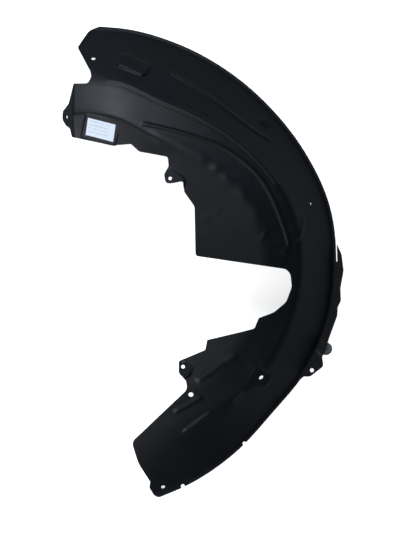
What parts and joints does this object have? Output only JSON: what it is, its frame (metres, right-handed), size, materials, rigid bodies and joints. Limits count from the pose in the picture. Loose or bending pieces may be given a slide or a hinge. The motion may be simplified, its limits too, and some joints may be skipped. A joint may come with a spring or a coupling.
{
  "type": "wheel arch liner",
  "caption": "Thin moulded half dome of black plastic that lines a wheel arch, with stiffening beads, a flat rim lip, a folded end flange and screw holes.",
  "frame": {"origin": "middle of the plan outline, on the ground that the rim lies on", "axes": "+Y towards the upper end along the longest side, +X towards the crown of the arch, +Z away from the wheel side, up from the rim"},
  "size_m": [0.4772, 0.8068, 0.1262],
  "materials": {
    "liner_plastic": "fine moulded grain, low satin sheen",
    "label_paper": "matt label paper, bluish white, with faint plain rows",
    "buffer_plastic": "matt dark grey"
  },
  "bodies": {
    "root": {"liner": "liner_plastic", "label": "label_paper", "edge_buffer": "buffer_plastic"}
  },
  "joints": []
}
